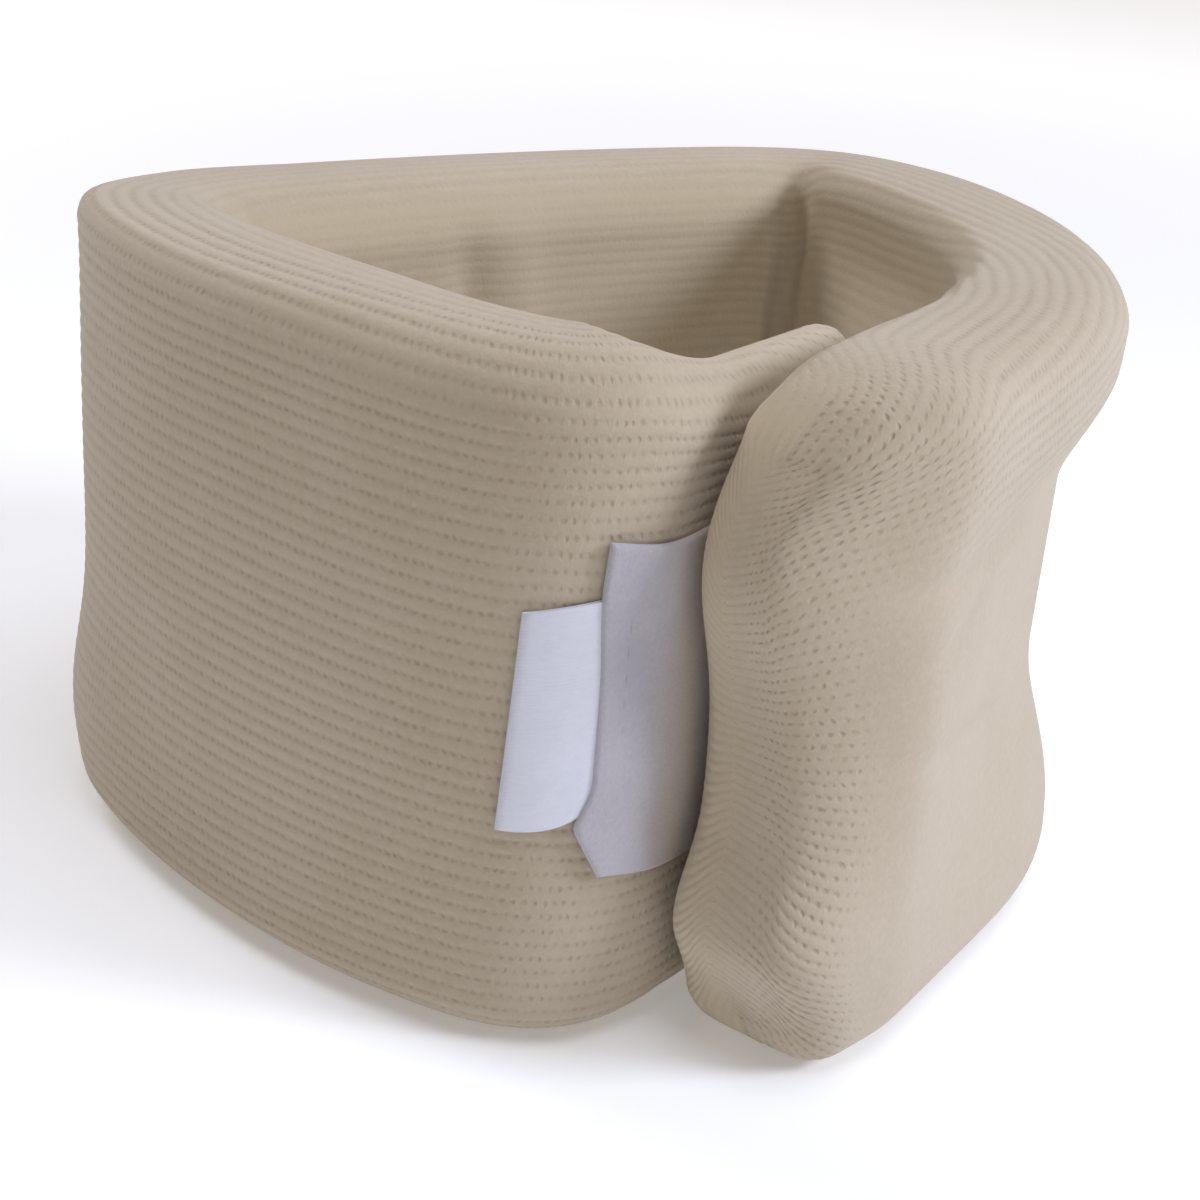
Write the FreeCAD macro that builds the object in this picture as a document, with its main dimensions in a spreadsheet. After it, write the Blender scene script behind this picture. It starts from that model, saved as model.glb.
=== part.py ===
import FreeCAD, Part
import math
import os

import Sketcher

# A soft foam cervical collar: one foam strip in a knitted cover, bent into a loop that stands
# on its lower edge. Its ends overlap and close with a hook strip and a loop strip.
#
# The middle line of the wall is a chain of straight runs and round bends, walked anticlockwise
# seen from above: flap end, right side, rear corner, long wall, left bend, near wall, tongue.
# The wall is cut square at two living hinges, one in the right side and one in the left bend.
# +Z is up, the closure faces -Y, and the origin is on the floor under the middle of the collar.

DIMENSIONS = {
    # the wall
    "wall_thick": 24.0,
    "wall_tall": 90.0,
    "edge_round": 8.0,
    "skin_thick": 1.0,
    "end_round": 6.0,
    # the tongue is the squeezed end of the strip that lies under the flap
    "tongue_thick": 11.0,
    "tongue_round": 5.0,
    "tongue_run": 38.0,
    # runs, radii and turns of the middle line
    "flap_run": 50.0,
    "flap_heading": 57.0,
    "side_radius": 60.0,
    "side_turn_flap": 48.0,
    "side_turn_front": 25.0,
    "corner_run": 11.6,
    "corner_radius": 15.0,
    "corner_turn": 76.0,
    "long_radius": 328.0,
    "long_turn": 16.0,
    "left_radius": 15.0,
    "left_turn_long": 42.0,
    "left_turn_near": 37.5,
    "near_radius": 102.6,
    "near_turn": 38.0,
    "tongue_radius": 14.5,
    "tongue_turn": 77.5,
    # straight lands beside each hinge cut, and the gap between two bodies there
    "hinge_land": 2.0,
    "hinge_gap": 0.4,
    # closure strips
    "strip_thick": 1.2,
    "strip_tall": 45.0,
    "strip_low": 24.5,
    "loop_turn": 37.0,
    "loop_run": 25.0,
    "hook_start": 6.0,
    "hook_run": 34.0,
    # label
    "label_wide": 11.0,
    "label_tall": 28.0,
    "label_thick": 0.6,
    "label_low": 34.0,
    "label_tilt": 8.0,
    # stitches and the seams that close the cover's ends
    "stitch_long": 2.2,
    "stitch_pitch": 3.2,
    "stitch_wide": 0.5,
    "stitch_proud": 0.25,
    "stitch_inset": 1.8,
    "seam_wide": 1.4,
    "seam_proud": 0.4,
    "seam_tall": 62.0,
    "seam_aside": 5.2,
    # middle of the flap's free end
    "flap_end_x": 23.92,
    "flap_end_y": -69.46,
}

doc = FreeCAD.newDocument("CervicalCollar")
sheet = doc.addObject("Spreadsheet::Sheet", "Dims")
for row, (alias, value) in enumerate(DIMENSIONS.items(), start=1):
    sheet.set(f"A{row}", alias)
    sheet.set(f"B{row}", str(value))
    sheet.setAlias(f"B{row}", alias)
doc.recompute()


class Size:
    """A number together with the sheet expression that gives it."""

    def __init__(self, value, text):
        self.value = value
        self.text = text

    def __add__(self, other):
        return joined(self, "+", other)

    def __sub__(self, other):
        return joined(self, "-", other)

    def __mul__(self, other):
        return joined(self, "*", other)

    def __truediv__(self, other):
        return joined(self, "/", other)


def joined(left, sign, right):
    """The sum, difference, product or ratio of a size and a size or plain number."""
    if not isinstance(right, Size):
        right = Size(float(right), str(right))
    values = {
        "+": left.value + right.value,
        "-": left.value - right.value,
        "*": left.value * right.value,
        "/": left.value / right.value,
    }
    return Size(values[sign], f"({left.text} {sign} {right.text})")


def dim(alias):
    """A driving dimension."""
    return Size(float(sheet.get(alias)), f"Dims.{alias}")


# ---------------------------------------------------------------- the middle line


class Stop:
    """A place on the middle line: a point, and the heading of the line there in degrees."""

    def __init__(self, x, y, heading):
        self.x = x
        self.y = y
        self.heading = heading

    def run(self, length):
        """The stop reached by a straight run."""
        angle = math.radians(self.heading)
        x = self.x + length * math.cos(angle)
        y = self.y + length * math.sin(angle)
        return Stop(x, y, self.heading)

    def bend(self, radius, turn):
        """The stop reached by a round bend; a positive turn is to the left."""
        side = math.copysign(radius, turn)
        start = math.radians(self.heading)
        end = math.radians(self.heading + turn)
        x = self.x + side * (math.sin(end) - math.sin(start))
        y = self.y + side * (math.cos(start) - math.cos(end))
        return Stop(x, y, self.heading + turn)

    def aside(self, distance):
        """The stop beside this one, to the left where the distance is positive."""
        there = Stop(self.x, self.y, self.heading + 90.0).run(distance)
        return Stop(there.x, there.y, self.heading)

    def back(self):
        """The same place, facing the other way."""
        return Stop(self.x, self.y, self.heading + 180.0)

    def placement(self, height=0.0):
        """Placement whose local X runs along the heading."""
        turn = FreeCAD.Rotation(FreeCAD.Vector(0, 0, 1), self.heading)
        return FreeCAD.Placement(FreeCAD.Vector(self.x, self.y, height), turn)


def run_of(length):
    """A straight link of a chain."""
    return {"length": length}


def bend_of(radius, turn, side=1):
    """A round link of a chain; side is 1 to the left and -1 to the right."""
    return {"radius": radius, "turn": turn, "side": side}


def follow(stop, chain):
    """The stop at the far end of a chain."""
    for link in chain:
        if "length" in link:
            stop = stop.run(link["length"].value)
        else:
            stop = stop.bend(link["radius"].value, link["turn"].value * link["side"])
    return stop


# ---------------------------------------------------------------- sketches of the wall


def new_sketch(body, name, role):
    """A sketch that lies on one of the body's own origin planes."""
    plane = next(item for item in body.Origin.OriginFeatures if item.Role == role)
    sketch = body.newObject("Sketcher::SketchObject", name)
    sketch.AttachmentSupport = [(plane, "")]
    sketch.MapMode = "FlatFace"
    return sketch


def drive(sketch, kind, places, size, factor=1.0):
    """Add a dimension to a sketch and bind it to the sheet."""
    index = sketch.addConstraint(Sketcher.Constraint(kind, *places, size.value * factor))
    unit = " * 1 deg" if kind == "Angle" else ""
    sketch.setExpression(f"Constraints[{index}]", size.text + unit)


def flat(x, y):
    """A point of a sketch."""
    return FreeCAD.Vector(x, y, 0)


def arc_about(x, y, radius, start, span):
    """An arc of a sketch, from its start angle and span in degrees."""
    circle = Part.Circle(flat(x, y), flat(0, 0) + FreeCAD.Vector(0, 0, 1), radius)
    return Part.ArcOfCircle(circle, math.radians(start), math.radians(start + span))


def chain_sketch(body, name, chain):
    """Runs and bends that leave the body's origin along +X, each sized by the sheet."""
    sketch = new_sketch(body, name, "XY_Plane")
    here = Stop(0.0, 0.0, 0.0)
    last = None
    for link in chain:
        there = follow(here, [link])
        if "length" in link:
            line = Part.LineSegment(flat(here.x, here.y), flat(there.x, there.y))
            index = sketch.addGeometry(line, False)
            drive(sketch, "Distance", [index], link["length"])
            first, final = 1, 2
        else:
            side = link["side"]
            radius = link["radius"].value
            centre = here.aside(radius * side)
            first, final = (1, 2) if side > 0 else (2, 1)
            begin = here.heading - 90.0 if side > 0 else there.heading + 90.0
            arc = arc_about(centre.x, centre.y, radius, begin, link["turn"].value)
            index = sketch.addGeometry(arc, False)
            drive(sketch, "Radius", [index], link["radius"])
            drive(sketch, "Angle", [index], link["turn"], math.radians(1.0))
        if last is None:
            sketch.addConstraint(Sketcher.Constraint("Coincident", index, first, -1, 1))
            aim = ("Horizontal", index) if "length" in link else ("PointOnObject", index, 3, -2)
            sketch.addConstraint(Sketcher.Constraint(*aim))
        else:
            sketch.addConstraint(Sketcher.Constraint("Tangent", *last, index, first))
        last = (index, final)
        here = there
    return sketch


def section_sketch(body, name, wide, tall, corner):
    """Rounded upright section across the start of the chain, standing on the body's origin."""
    sketch = new_sketch(body, name, "YZ_Plane")
    half = wide.value / 2.0
    top = tall.value
    radius = corner.value
    inner = half - radius
    sides = [
        (flat(-inner, 0), flat(inner, 0)),
        (flat(half, radius), flat(half, top - radius)),
        (flat(inner, top), flat(-inner, top)),
        (flat(-half, top - radius), flat(-half, radius)),
    ]
    corners = [
        (inner, radius, 270),
        (inner, top - radius, 0),
        (-inner, top - radius, 90),
        (-inner, radius, 180),
    ]
    for side, (x, y, start) in zip(sides, corners):
        sketch.addGeometry(Part.LineSegment(*side), False)
        sketch.addGeometry(arc_about(x, y, radius, start, 90), False)
    for index in range(8):
        sketch.addConstraint(Sketcher.Constraint("Tangent", index, 2, (index + 1) % 8, 1))
    for index in (3, 5, 7):
        sketch.addConstraint(Sketcher.Constraint("Equal", 1, index))
    sketch.addConstraint(Sketcher.Constraint("Symmetric", 0, 1, 0, 2, -1, 1))
    drive(sketch, "Radius", [1], corner)
    drive(sketch, "DistanceX", [6, 1, 2, 1], wide)
    drive(sketch, "DistanceY", [0, 1, 4, 1], tall)
    return sketch


def start_edges(shape):
    """Names of the edges that lie in the start plane of a swept wall."""
    near = 1e-3
    names = []
    for number, edge in enumerate(shape.Edges, start=1):
        if abs(edge.BoundBox.XMin) < near and abs(edge.BoundBox.XMax) < near:
            names.append(f"Edge{number}")
    return names


def swept_wall(name, place, chain, section, end_round=None):
    """A wall that follows a chain from a place; end_round rounds its free end, at the start."""
    body = doc.addObject("PartDesign::Body", name)
    path = chain_sketch(body, f"{name}_path", chain)
    outline = section_sketch(body, f"{name}_section", *section)
    doc.recompute()
    pipe = body.newObject("PartDesign::AdditivePipe", f"{name}_pipe")
    pipe.Profile = outline
    pipe.Spine = (path, [f"Edge{number}" for number in range(1, len(chain) + 1)])
    doc.recompute()
    if end_round:
        rounded = body.newObject("PartDesign::Fillet", f"{name}_end_round")
        rounded.Base = (pipe, start_edges(pipe.Shape))
        rounded.setExpression("Radius", end_round.text)
        doc.recompute()
    body.Placement = place
    return body


def two_part(kind, name, base, tool):
    """A boolean of two objects: Part::Fuse or Part::Cut."""
    result = doc.addObject(kind, name)
    result.Base = base
    result.Tool = tool
    result.Refine = False
    return result


# ---------------------------------------------------------------- chains and stops

skin = dim("skin_thick")
land = dim("hinge_land") - dim("hinge_gap") / 2
wall_section = (dim("wall_thick"), dim("wall_tall"), dim("edge_round"))
core_section = (dim("wall_thick") - skin * 2, dim("wall_tall") - skin * 2, dim("edge_round") - skin)
tongue_section = (dim("tongue_thick"), dim("wall_tall"), dim("tongue_round"))
tongue_core_section = (
    dim("tongue_thick") - skin * 2,
    dim("wall_tall") - skin * 2,
    dim("tongue_round") - skin,
)

flap_bend = bend_of(dim("side_radius"), dim("side_turn_flap"))
flap_chain = [run_of(dim("flap_run")), flap_bend, run_of(land)]
flap_core_chain = [run_of(dim("flap_run") - skin), flap_bend, run_of(land)]
front_chain = [
    run_of(land),
    bend_of(dim("side_radius"), dim("side_turn_front")),
    run_of(dim("corner_run")),
    bend_of(dim("corner_radius"), dim("corner_turn")),
    bend_of(dim("long_radius"), dim("long_turn")),
    bend_of(dim("left_radius"), dim("left_turn_long")),
    run_of(land),
]
left_near_bend = bend_of(dim("left_radius"), dim("left_turn_near"))
near_bend = bend_of(dim("near_radius"), dim("near_turn"))
near_chain = [run_of(land), left_near_bend, near_bend]
tongue_chain = [run_of(dim("tongue_run")), bend_of(dim("tongue_radius"), dim("tongue_turn"), -1)]
# the foam ends one skin thickness short of the step where the wall narrows to the tongue
step_turn = skin / dim("near_radius") * math.degrees(1.0)
step_radius = dim("near_radius") + (dim("wall_thick") - dim("tongue_thick")) / 2
near_core_bend = bend_of(dim("near_radius"), dim("near_turn") - step_turn)
near_core_chain = [run_of(land), left_near_bend, near_core_bend]
tongue_core_chain = [
    run_of(dim("tongue_run") - skin),
    bend_of(dim("tongue_radius"), dim("tongue_turn"), -1),
    bend_of(step_radius, step_turn, -1),
]

half_wall = dim("wall_thick").value / 2
half_tongue = dim("tongue_thick").value / 2
full_land = [run_of(dim("hinge_land"))]
half_gap = dim("hinge_gap").value / 2
flap_end = Stop(dim("flap_end_x").value, dim("flap_end_y").value, dim("flap_heading").value)
right_hinge = follow(flap_end, flap_chain[:2] + full_land)
left_hinge = follow(right_hinge, full_land + front_chain[1:6] + full_land)
near_end = follow(left_hinge, full_land + near_chain[1:])
tongue_root = near_end.aside(half_tongue - half_wall)
tongue_bend_end = tongue_root.bend(dim("tongue_radius").value, dim("tongue_turn").value)
tongue_tip = tongue_bend_end.run(dim("tongue_run").value)


# ---------------------------------------------------------------- foam and cover


def make_front():
    """The back-of-neck and side foam between the two hinges, with its tube of knit."""
    start = right_hinge.run(half_gap)
    core = swept_wall("foam_core_front", start.placement(skin.value), front_chain, core_section)
    blank = swept_wall("front_blank", start.placement(), front_chain, wall_section)
    cover = two_part("Part::Cut", "cover_front", blank, core)
    return [core, cover]


def make_flap():
    """The end that lies outside at the closure."""
    inside = flap_end.run(skin.value)
    end_round = dim("end_round")
    core = swept_wall(
        "foam_core_flap", inside.placement(skin.value), flap_core_chain, core_section, end_round - skin
    )
    blank = swept_wall("flap_blank", flap_end.placement(), flap_chain, wall_section, end_round)
    cover = two_part("Part::Cut", "cover_flap", blank, core)
    return [core, cover]


def make_under():
    """The near wall and the squeezed tongue that lies under the flap."""
    start = left_hinge.run(half_gap)
    tip = tongue_tip.back()
    inside = tip.run(skin.value)
    tongue_end_round = dim("tongue_round") - skin
    near_core = swept_wall("near_core", start.placement(skin.value), near_core_chain, core_section)
    tongue_core = swept_wall(
        "tongue_core",
        inside.placement(skin.value),
        tongue_core_chain,
        tongue_core_section,
        tongue_end_round - skin,
    )
    near_blank = swept_wall("near_blank", start.placement(), near_chain, wall_section)
    tongue_blank = swept_wall(
        "tongue_blank", tip.placement(), tongue_chain, tongue_section, tongue_end_round
    )
    core = two_part("Part::Fuse", "foam_core_under", near_core, tongue_core)
    blank = two_part("Part::Fuse", "under_blank", near_blank, tongue_blank)
    cover = two_part("Part::Cut", "cover_under", blank, core)
    return [core, cover]


# ---------------------------------------------------------------- closure strips and trim


def strip_stops():
    """Where the two closure strips start, on the faces that they are sewn to."""
    half_strip = dim("strip_thick").value / 2
    outside = tongue_root.aside(-half_tongue - half_strip)
    bare_turn = dim("tongue_turn").value - dim("loop_turn").value
    loop = outside.bend(loop_radius.value, bare_turn)
    hook = flap_end.run(dim("hook_start").value).aside(half_wall + half_strip)
    return loop, hook


def make_strips():
    """Loop strip on the tongue's outer face, and hook strip on the flap's inner face."""
    section = (dim("strip_thick"), dim("strip_tall"), dim("strip_thick") / 4)
    low = dim("strip_low").value
    loop = swept_wall("loop_strip", loop_start.placement(low), loop_chain, section)
    hook = swept_wall("hook_strip", hook_start.placement(low), hook_chain, section)
    return [loop, hook]


def stitch_box(stop, height, upright):
    """One stitch on the right-hand side of a stop, along the heading or upright."""
    long = dim("stitch_long").value
    wide = dim("stitch_wide").value
    proud = dim("stitch_proud").value
    sizes = (wide, proud, long) if upright else (long, proud, wide)
    box = Part.makeBox(*sizes, FreeCAD.Vector(-sizes[0] / 2, -proud, -sizes[2] / 2))
    box.Placement = stop.placement(height)
    return box


def spread(first, final):
    """Evenly spaced places from first to final, about one stitch pitch apart."""
    count = max(1, round((final - first) / dim("stitch_pitch").value))
    return [first + (final - first) * number / count for number in range(count + 1)]


def stop_along(start, chain, distance):
    """The stop at a distance along a chain."""
    for link in chain:
        straight = "length" in link
        if straight:
            length = link["length"].value
        else:
            length = link["radius"].value * math.radians(link["turn"].value)
        part = min(distance, length)
        if straight:
            start = start.run(part)
        else:
            start = start.bend(link["radius"].value, link["side"] * link["turn"].value * part / length)
        distance -= part
    return start


def make_stitching(name, start, chain, length, side):
    """The lockstitch around the edge of a closure strip; side is 1 where its face is on the left."""
    inset = dim("stitch_inset").value
    low = dim("strip_low").value + inset
    high = dim("strip_low").value + dim("strip_tall").value - inset
    proud_face = dim("strip_thick").value / 2
    boxes = []

    def add(distance, height, upright):
        stop = stop_along(start, chain, distance)
        if side > 0:
            boxes.append(stitch_box(stop.aside(proud_face).back(), height, upright))
        else:
            boxes.append(stitch_box(stop.aside(-proud_face), height, upright))

    for distance in spread(inset, length - inset):
        add(distance, low, False)
        add(distance, high, False)
    for height in spread(low + inset, high - inset):
        add(inset, height, True)
        add(length - inset, height, True)
    feature = doc.addObject("Part::Feature", name)
    feature.Shape = Part.makeCompound(boxes)
    return feature


def make_label():
    """A folded tape tucked beside the loop strip, and the stitches that hold it."""
    tilt = dim("label_tilt").value
    root = Stop(label_root.x, label_root.y, label_root.heading + 180.0 + tilt)
    label = doc.addObject("Part::Box", "label")
    label.setExpression("Length", "Dims.label_wide")
    label.setExpression("Width", "Dims.label_thick")
    label.setExpression("Height", "Dims.label_tall")
    label.Placement = root.placement(dim("label_low").value)
    face = root.aside(dim("label_thick").value).back()
    inset = dim("stitch_inset").value
    low = dim("label_low").value + inset
    high = low + dim("label_tall").value - inset * 2
    boxes = [stitch_box(face.run(-inset), height, True) for height in spread(low, high)]
    stitching = doc.addObject("Part::Feature", "label_stitching")
    stitching.Shape = Part.makeCompound(boxes)
    return [label, stitching]


def make_end_seam(name, end):
    """The sewn seam that closes the cover over one end of the foam."""
    seam = doc.addObject("Part::Box", name)
    seam.setExpression("Length", "Dims.seam_proud")
    seam.setExpression("Width", "Dims.seam_wide")
    seam.setExpression("Height", "Dims.seam_tall")
    middle = (dim("wall_tall").value - dim("seam_tall").value) / 2
    corner = end.run(-dim("seam_proud").value).aside(-dim("seam_wide").value / 2)
    seam.Placement = corner.placement(middle)
    return seam


loop_radius = dim("tongue_radius") + dim("tongue_thick") / 2 + dim("strip_thick") / 2
loop_chain = [bend_of(loop_radius, dim("loop_turn")), run_of(dim("loop_run"))]
hook_chain = [run_of(dim("hook_run"))]
loop_start, hook_start = strip_stops()
loop_length = loop_radius.value * math.radians(dim("loop_turn").value) + dim("loop_run").value
label_root = loop_start.run(-half_gap)
flap_seam_stop = flap_end.aside(dim("seam_aside").value)
tongue_seam_stop = tongue_tip.back()


# ---------------------------------------------------------------- checks and files


def check_document():
    """Stop at any object that failed to compute."""
    for thing in doc.Objects:
        if "Invalid" in thing.State or "Error" in thing.State:
            raise SystemExit(f"{thing.Name} failed: {thing.State}")


def write_parts(subparts):
    """Write each sub-part to its own file, once every one of them is sound."""
    for subpart in subparts:
        subpart.Label = subpart.Name
        shape = subpart.Shape
        if shape.isNull() or not shape.isValid():
            raise SystemExit(f"{subpart.Label} has no valid shape")
    os.makedirs("parts", exist_ok=True)
    for subpart in subparts:
        subpart.Shape.exportStep(f"parts/{subpart.Label}.step")


subparts = make_front() + make_flap() + make_under() + make_strips() + make_label()
subparts.append(make_stitching("loop_strip_stitching", loop_start, loop_chain, loop_length, -1))
subparts.append(make_stitching("hook_strip_stitching", hook_start, hook_chain, dim("hook_run").value, 1))
subparts.append(make_end_seam("end_seam_flap", flap_seam_stop))
subparts.append(make_end_seam("end_seam_tongue", tongue_seam_stop))
doc.recompute()
check_document()
write_parts(subparts)
for subpart in subparts:
    box = subpart.Shape.BoundBox
    print(subpart.Label, len(subpart.Shape.Solids), round(subpart.Shape.Volume, 1), box)
for name, stop in (("right", right_hinge), ("left", left_hinge)):
    axis = stop.aside(-half_wall)
    print(f"{name} hinge axis at {axis.x:.3f}, {axis.y:.3f}")
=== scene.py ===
import math

import bpy
import numpy as np
from mathutils import Matrix, Vector


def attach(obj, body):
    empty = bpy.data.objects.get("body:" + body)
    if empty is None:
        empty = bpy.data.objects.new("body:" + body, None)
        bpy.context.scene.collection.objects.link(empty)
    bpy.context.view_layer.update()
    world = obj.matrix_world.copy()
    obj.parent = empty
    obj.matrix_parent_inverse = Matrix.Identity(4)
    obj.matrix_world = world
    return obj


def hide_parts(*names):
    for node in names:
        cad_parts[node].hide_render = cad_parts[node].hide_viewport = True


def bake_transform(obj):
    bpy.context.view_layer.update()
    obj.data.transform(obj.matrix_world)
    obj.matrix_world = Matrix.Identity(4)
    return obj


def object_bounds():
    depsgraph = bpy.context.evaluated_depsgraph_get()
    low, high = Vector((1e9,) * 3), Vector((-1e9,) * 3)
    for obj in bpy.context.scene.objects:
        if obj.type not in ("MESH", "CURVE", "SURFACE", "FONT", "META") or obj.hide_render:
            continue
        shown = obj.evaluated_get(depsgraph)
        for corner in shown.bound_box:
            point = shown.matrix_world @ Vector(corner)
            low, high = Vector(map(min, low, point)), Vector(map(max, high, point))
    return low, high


# Looks of a soft cervical collar: a foam strip in a ribbed knit cover, bent into a loop whose
# ends overlap. Everything is in metres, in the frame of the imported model.
#
# The band is one surface. "Along" runs on the outer face from the flap's free end,
# anticlockwise seen from above, to the tip of the tongue that lies under the flap. "Up" runs
# from the middle of the lower edge to the middle of the upper edge, on either face.

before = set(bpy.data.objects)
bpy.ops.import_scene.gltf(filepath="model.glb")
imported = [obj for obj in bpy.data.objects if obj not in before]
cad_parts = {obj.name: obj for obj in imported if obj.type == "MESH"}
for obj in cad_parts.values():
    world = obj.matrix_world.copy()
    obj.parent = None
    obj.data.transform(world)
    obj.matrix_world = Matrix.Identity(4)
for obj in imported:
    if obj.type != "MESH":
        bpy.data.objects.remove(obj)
cad_low, cad_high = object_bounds()

MM = 0.001

# ---------------------------------------------------------------- sizes

WALL_TALL = 90 * MM
WALL_THICK = 24 * MM
TONGUE_THICK = 11 * MM
TONGUE_TIP_THICK = 9.5 * MM
END_ROUND = 6 * MM
LOWER_ROUND = 6 * MM
UPPER_ROUND = 4 * MM
FLAP_ROLL = 6.5 * MM
EDGE_DOME = 1.4 * MM
CORNER_SQUEEZE = 3.4 * MM
NEAR_SQUEEZE = 3 * MM

# runs (length) and left bends (radius, degrees) of the outer face
FLAP_RUN = 50 * MM
SIDE_BEND = (72 * MM, 48.0)
SIDE_BEND_FRONT = (72 * MM, 25.0)
CORNER_RUN = 11.6 * MM
CORNER_BEND = (27 * MM, 76.0)
LONG_BEND = (340 * MM, 16.0)
LEFT_BEND = (27 * MM, 42.0)
LEFT_BEND_NEAR = (27 * MM, 37.5)
NEAR_BEND = (114.6 * MM, 38.0)
TONGUE_BEND = (20 * MM, 77.5)
TONGUE_RUN = 38 * MM
HINGE_RUN = 4 * MM

FLAP_END = (23.92 * MM, -69.46 * MM)
FLAP_HEADING = 57.0
LINE_STEP = 0.25 * MM
LINE_SOFTNESS = 5 * MM

# the knit: wales run along the band, courses cross it
WALES_PER_FACE = 52
COURSE = 1.25 * MM
RIB_HIGH = 0.17 * MM
SAMPLES_PER_WALE = 6
COLUMN_STEP = 1.75 * MM
SKIN_THICK = 1.3 * MM

# tapes and thread
STRIP_THICK = 1.2 * MM
STRIP_TALL = 45 * MM
STRIP_LOW = 24.5 * MM
LOOP_TURN_RUN = 12.9 * MM
LOOP_RUN = 25 * MM
HOOK_START = 6 * MM
HOOK_RUN = 34 * MM
LABEL_WIDE = 11 * MM
LABEL_TALL = 28 * MM
LABEL_LOW = 34 * MM
LABEL_THICK = 0.28 * MM
STITCH_LONG = 2.2 * MM
STITCH_PITCH = 3.2 * MM
STITCH_INSET = 1.8 * MM
THREAD_THICK = 0.28 * MM
SEAM_TALL = 62 * MM
SEAM_PITCH = 1.5 * MM
SEAM_THREAD_THICK = 0.34 * MM
SEAM_DEPTH_FLAP = 0.62
SEAM_DEPTH_TONGUE = 0.5
GRAIN_AROUND = 8
GRAIN_LONG = 7

# how finely the band is sampled, and where its outer face's knit gives way to the inner's
CAP_TURN_STEPS = 8
CAP_STEPS = 15
FOAM_STEP = 6 * MM
FOAM_ROWS = 41
SEAM_SIDE = 0.78

# the bends at the two hinges: heading in degrees, and reach to both sides. The headings would keep
# the back's split and the band's ends out of the bends, but no bend is made from these numbers.
FLAP_BEND = (-60, 38 * MM)
UNDER_BEND = (-87, 22 * MM)


# ---------------------------------------------------------------- the outer line


def arc_length(bend):
    radius, turn = bend
    return radius * math.radians(turn)


class OuterLine:
    """The outer face seen from above, as points and headings at even steps."""

    def __init__(self):
        links = [
            (FLAP_RUN, 0.0),
            (arc_length(SIDE_BEND), SIDE_BEND[1]),
            (HINGE_RUN, 0.0),
            (arc_length(SIDE_BEND_FRONT), SIDE_BEND_FRONT[1]),
            (CORNER_RUN, 0.0),
            (arc_length(CORNER_BEND), CORNER_BEND[1]),
            (arc_length(LONG_BEND), LONG_BEND[1]),
            (arc_length(LEFT_BEND), LEFT_BEND[1]),
            (HINGE_RUN, 0.0),
            (arc_length(LEFT_BEND_NEAR), LEFT_BEND_NEAR[1]),
            (arc_length(NEAR_BEND), NEAR_BEND[1]),
            (arc_length(TONGUE_BEND), TONGUE_BEND[1]),
            (TONGUE_RUN, 0.0),
        ]
        marks = np.cumsum([0.0] + [length for length, _ in links])
        turned = np.cumsum([0.0] + [turn for _, turn in links])
        self.length = marks[-1]
        self.rear_corner = (marks[5] + marks[6]) / 2
        self.long_middle = (marks[6] + marks[7]) / 2
        self.left_hinge = (marks[8] + marks[9]) / 2
        self.near_end = marks[11]
        self.tongue_run = marks[12]
        count = int(self.length / LINE_STEP) + 1
        self.along = np.linspace(0.0, self.length, count)
        heading = np.radians(FLAP_HEADING + np.interp(self.along, marks, turned))
        start = np.array(FLAP_END) + outward(heading[:1])[0] * WALL_THICK / 2
        sharp = walked(start, heading, self.along)
        soft_heading = smoothed(heading, LINE_SOFTNESS / LINE_STEP)
        soft = walked(start, soft_heading, self.along)
        slack = (sharp[-1] - soft[-1]) / self.length
        self.points = soft + self.along[:, None] * slack
        self.headings = soft_heading

    def at(self, along):
        """Points and headings at distances along the line."""
        x = np.interp(along, self.along, self.points[:, 0])
        y = np.interp(along, self.along, self.points[:, 1])
        return np.stack([x, y], axis=-1), np.interp(along, self.along, self.headings)


def outward(heading):
    """Unit vectors to the right of a heading, which is out of the loop."""
    return np.stack([np.sin(heading), -np.cos(heading)], axis=-1)


def forward(heading):
    return np.stack([np.cos(heading), np.sin(heading)], axis=-1)


def walked(start, heading, along):
    """Points reached from a start by following headings."""
    step = np.diff(along)[:, None] * (forward(heading[:-1]) + forward(heading[1:])) / 2
    return start + np.vstack([np.zeros((1, 2)), np.cumsum(step, axis=0)])


def smoothed(values, sigma):
    """A line of values after a Gaussian blur, its ends held."""
    reach = int(3 * sigma)
    kernel = np.exp(-0.5 * (np.arange(-reach, reach + 1) / sigma) ** 2)
    padded = np.pad(values, reach, mode="edge")
    return np.convolve(padded, kernel / kernel.sum(), mode="valid")


def ramp(value, low, high):
    """0 below low, 1 above high, smooth between."""
    t = np.clip((value - low) / (high - low), 0.0, 1.0)
    return t * t * (3 - 2 * t)


def hump(value, middle, width):
    """1 at the middle, falling to 0 on both sides."""
    return np.exp(-(((value - middle) / width) ** 2))


line = OuterLine()


# ---------------------------------------------------------------- the shape of the wall


def thickness(along):
    """The wall thins a little towards the closure, and the tongue under the flap is squeezed."""
    eased = ramp(along, 345 * MM, 395 * MM)
    narrowed = ramp(along, line.near_end + 12 * MM, line.near_end + 38 * MM)
    pinched = ramp(along, line.tongue_run, line.length)
    squeezed = hump(along, line.rear_corner, 17 * MM) + 0.6 * hump(along, line.left_hinge, 15 * MM)
    return (
        WALL_THICK
        - NEAR_SQUEEZE * eased
        - (WALL_THICK - NEAR_SQUEEZE - TONGUE_THICK) * narrowed
        + (TONGUE_TIP_THICK - TONGUE_THICK) * pinched
        - CORNER_SQUEEZE * squeezed
    )


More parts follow.
